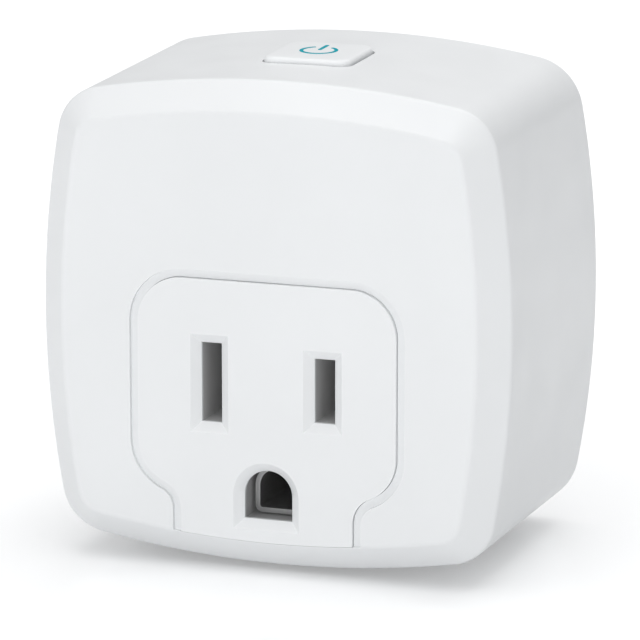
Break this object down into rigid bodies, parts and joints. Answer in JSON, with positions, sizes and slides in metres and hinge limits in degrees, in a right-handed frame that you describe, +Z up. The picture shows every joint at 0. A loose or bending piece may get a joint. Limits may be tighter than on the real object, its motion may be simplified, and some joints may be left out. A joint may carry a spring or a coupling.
{
  "type": "smart plug",
  "caption": "Compact square smart plug with bowed sides: grounded outlet in front, grounded plug behind, push button with power symbol on top.",
  "frame": {"origin": "on the wall face, midway between the two flat blades", "axes": "+Y out of the back towards the wall, the way the blades point; -Y out of the outlet face; +Z up, towards the button; +X to the right seen from the front"},
  "size_m": [0.054, 0.0537, 0.0544],
  "materials": {
    "housing_white": "satin white moulded plastic",
    "outlet_white": "satin white moulded plastic",
    "button_white": "satin white moulded plastic",
    "dark_plastic": "dark grey moulded plastic",
    "brass": "stamped brass",
    "plated_blade": "nickel-plated brass",
    "steel": "plain steel",
    "board_green": "green circuit board",
    "teal_guide": "teal light guide",
    "black_package": "black moulded package",
    "copper": "bare copper",
    "can_aluminium": "sleeved aluminium can",
    "blue_varistor": "blue coated disc",
    "amber_spool": "amber moulded spool",
    "grey_plastic": "light grey moulded plastic"
  },
  "bodies": {
    "housing": {"blade_holder": "dark_plastic", "bridge_rectifier": "black_package", "bulk_capacitors": "can_aluminium", "contact_carrier": "grey_plastic", "front_cover": "housing_white", "fuse_resistor": "board_green", "ground_contact": "brass", "ground_pin": "plated_blade", "ground_strap": "brass", "header_pins": "brass", "housing_screws": "steel", "line_blade": "plated_blade", "line_contact": "brass", "line_in_bar": "brass", "line_out_bar": "brass", "main_board": "board_green", "neutral_bar": "brass", "neutral_blade": "plated_blade", "neutral_contact": "brass", "outlet_plate": "outlet_white", "power_inductor": "black_package", "radio_board": "board_green", "radio_can": "steel", "rear_cover": "housing_white", "regulator_chip": "black_package", "relay_base": "dark_plastic", "relay_bobbin": "amber_spool", "relay_case": "dark_plastic", "relay_coil": "copper", "relay_core": "steel", "relay_fixed_contact": "copper", "relay_terminals": "brass", "relay_yoke": "steel", "status_led": "teal_guide", "switch_base": "black_package", "switch_dome": "steel", "switch_lid": "steel", "varistor": "blue_varistor"},
    "button": {"button_cap": "button_white", "power_icon": "teal_guide", "switch_plunger": "black_package"},
    "relay_armature": {"relay_armature": "steel", "relay_contact_spring": "copper"}
  },
  "joints": [
    {"name": "button_press", "type": "slide", "parent": "housing", "child": "button", "axis": [0, 0, -1], "range_m": [0, 0.0003], "stiffness_N_per_m": 2500, "springref_m": -0.0001},
    {"name": "relay_pull_in", "type": "hinge", "parent": "housing", "child": "relay_armature", "pos_m": [0, -0.01445, 0.01155], "axis": [-1, 0, 0], "range_deg": [0, 2.6], "stiffness_Nm_per_rad": 0.01, "springref_deg": -1.15}
  ]
}
